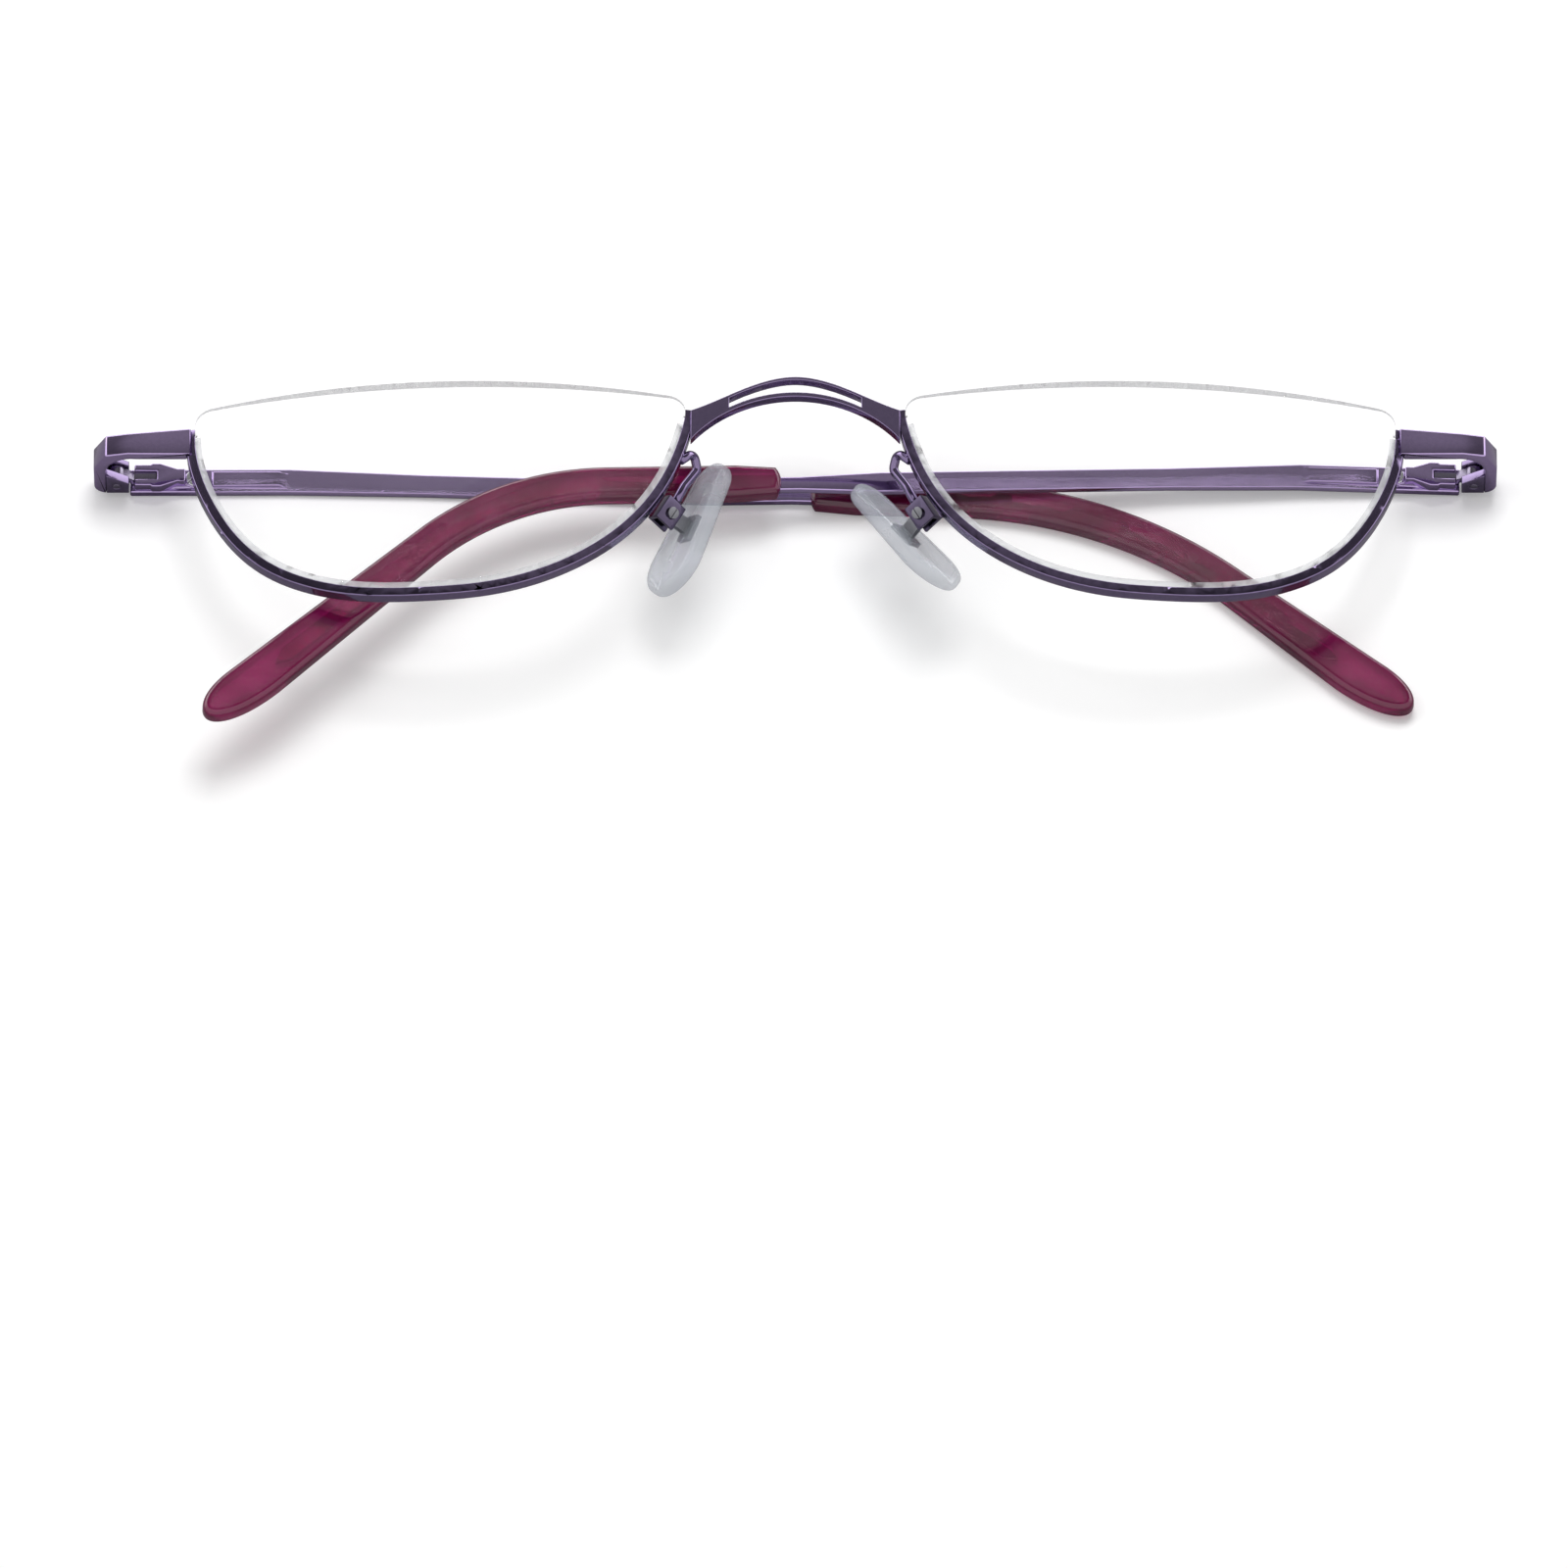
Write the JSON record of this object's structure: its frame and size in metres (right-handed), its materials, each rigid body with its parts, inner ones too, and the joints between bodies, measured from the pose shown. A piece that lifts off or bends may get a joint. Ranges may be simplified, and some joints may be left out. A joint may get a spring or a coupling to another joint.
{
  "type": "half eye reading glasses",
  "caption": "Slim half eye reading glasses, folded: clear half lenses in metal half rims, slotted arch bridge, sprung hinge temples, plastic tips, rocking nose pads.",
  "frame": {"origin": "middle of the plan of the folded glasses, at the table they rest on", "axes": "+X to the wearer's left, along the front; +Y up in wear; +Z out of the face, which is up here"},
  "size_m": [0.138, 0.0364, 0.0144],
  "materials": {
    "purple_metal": "glossy metallic lacquer",
    "hinge_metal": "satin",
    "screw_steel": "bright",
    "pad_wire": "bright",
    "plum_acetate": "glossy translucent",
    "pad_silicone": "translucent satin",
    "lens_plastic": "polished"
  },
  "bodies": {
    "front": {"bridge": "purple_metal", "lens_left": "lens_plastic", "rim_left": "purple_metal", "end_piece_left": "purple_metal", "front_hinge_left": "hinge_metal", "hinge_screw_left": "screw_steel", "pad_arm_left": "pad_wire", "pad_box_left": "purple_metal", "pad_screw_left": "screw_steel", "lens_right": "lens_plastic", "rim_right": "purple_metal", "end_piece_right": "purple_metal", "front_hinge_right": "hinge_metal", "hinge_screw_right": "screw_steel", "pad_arm_right": "pad_wire", "pad_box_right": "purple_metal", "pad_screw_right": "screw_steel"},
    "slider_left": {"hinge_slider_left": "hinge_metal", "spring_stop_left": "screw_steel"},
    "temple_left_body": {"temple_left": "purple_metal", "temple_tip_left": "plum_acetate", "spring_box_left": "purple_metal", "spring_box_screw_left": "screw_steel", "hinge_spring_left": "screw_steel"},
    "pad_left": {"nose_pad_left": "pad_silicone", "pad_insert_left": "hinge_metal"},
    "slider_right": {"hinge_slider_right": "hinge_metal", "spring_stop_right": "screw_steel"},
    "temple_right_body": {"temple_right": "purple_metal", "temple_tip_right": "plum_acetate", "spring_box_right": "purple_metal", "spring_box_screw_right": "screw_steel", "hinge_spring_right": "screw_steel"},
    "pad_right": {"nose_pad_right": "pad_silicone", "pad_insert_right": "hinge_metal"}
  },
  "joints": [
    {"name": "temple_left_fold", "type": "hinge", "parent": "front", "child": "slider_left", "pos_m": [0.0668, 0.0134, 0.0022], "axis": [0, -1, 0], "range_deg": [0, 93.5]},
    {"name": "temple_left_flex", "type": "slide", "parent": "slider_left", "child": "temple_left_body", "axis": [-0.9981, 0, 0.0619], "range_m": [0, 0.0011], "stiffness_N_per_m": 400, "springref_m": -0.002, "deforming": ["hinge_spring_left"]},
    {"name": "temple_right_fold", "type": "hinge", "parent": "front", "child": "slider_right", "pos_m": [-0.0668, 0.0134, 0.0022], "axis": [0, 1, 0], "range_deg": [0, 90.25]},
    {"name": "temple_right_flex", "type": "slide", "parent": "slider_right", "child": "temple_right_body", "axis": [1, 0, 0.0044], "range_m": [0, 0.0011], "stiffness_N_per_m": 400, "springref_m": -0.002, "deforming": ["hinge_spring_right"]},
    {"name": "pad_left_rock", "type": "hinge", "parent": "front", "child": "pad_left", "pos_m": [0.0125, 0.004, 0.0106], "axis": [-0.5212, -0.3009, 0.7986], "range_deg": [-19, 1]},
    {"name": "pad_right_rock", "type": "hinge", "parent": "front", "child": "pad_right", "pos_m": [-0.0125, 0.004, 0.0106], "axis": [-0.5212, 0.3009, -0.7986], "range_deg": [-1, 19]}
  ]
}
